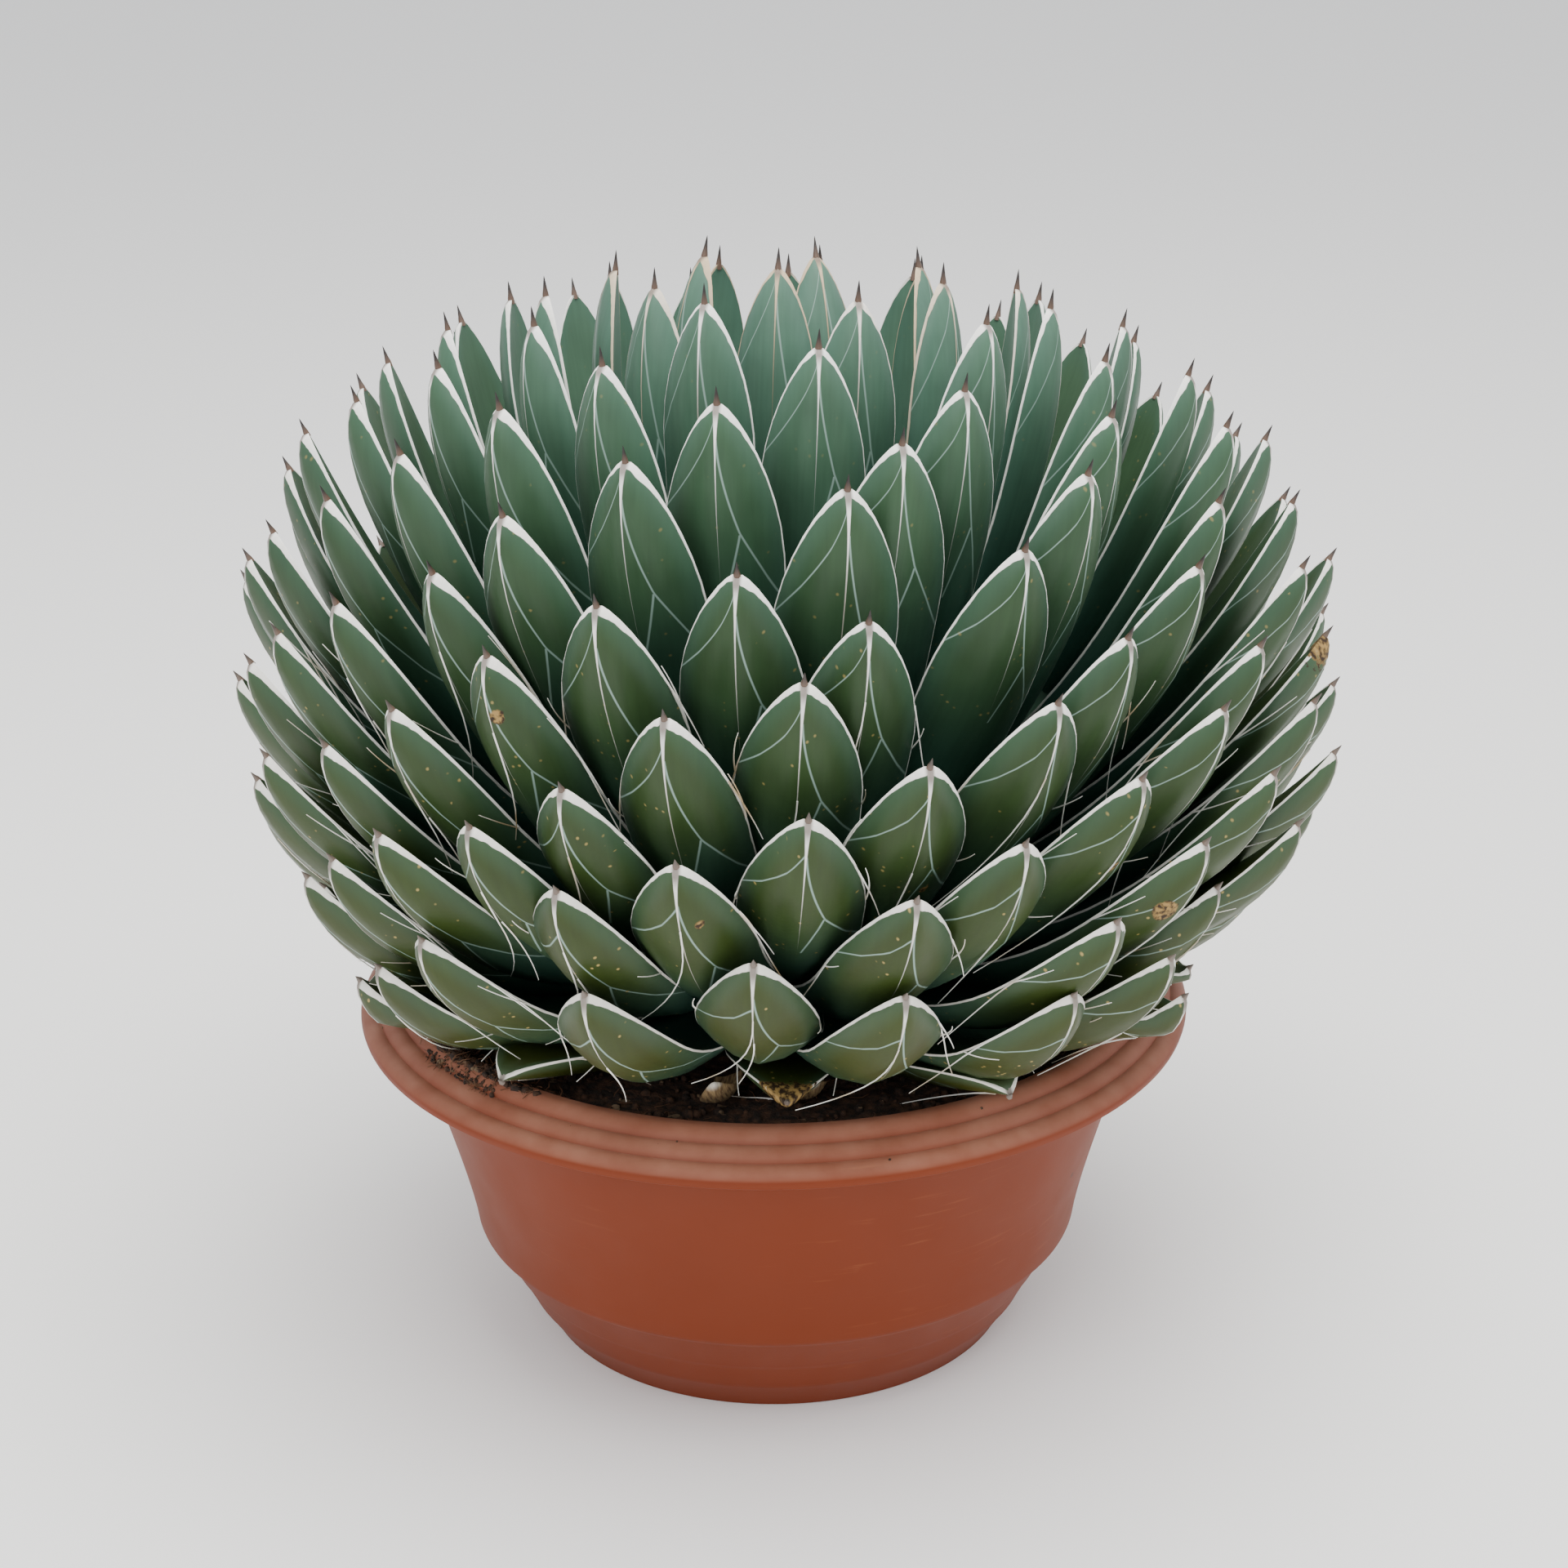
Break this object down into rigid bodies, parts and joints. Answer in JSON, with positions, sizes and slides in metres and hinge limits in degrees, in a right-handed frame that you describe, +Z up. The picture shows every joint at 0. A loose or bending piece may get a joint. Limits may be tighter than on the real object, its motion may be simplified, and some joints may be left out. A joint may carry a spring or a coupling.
{
  "type": "potted queen victoria agave",
  "caption": "Domed rosette of thick, white-edged, spine-tipped agave leaves growing in a round terracotta-coloured bowl with a ribbed rim.",
  "frame": {"origin": "centre of the bowl's underside, on the surface it stands on", "axes": "+Z up along the bowl's axis; -Y towards the viewer of the picture; +X to the picture's right"},
  "size_m": [0.4657, 0.4708, 0.4836],
  "materials": {
    "bowl": "moulded, satin",
    "soil": "loose dark potting mix",
    "leaf": "waxy, satin"
  },
  "bodies": {
    "root": {"bowl": "bowl", "soil": "soil", "rosette": "leaf"}
  },
  "joints": []
}
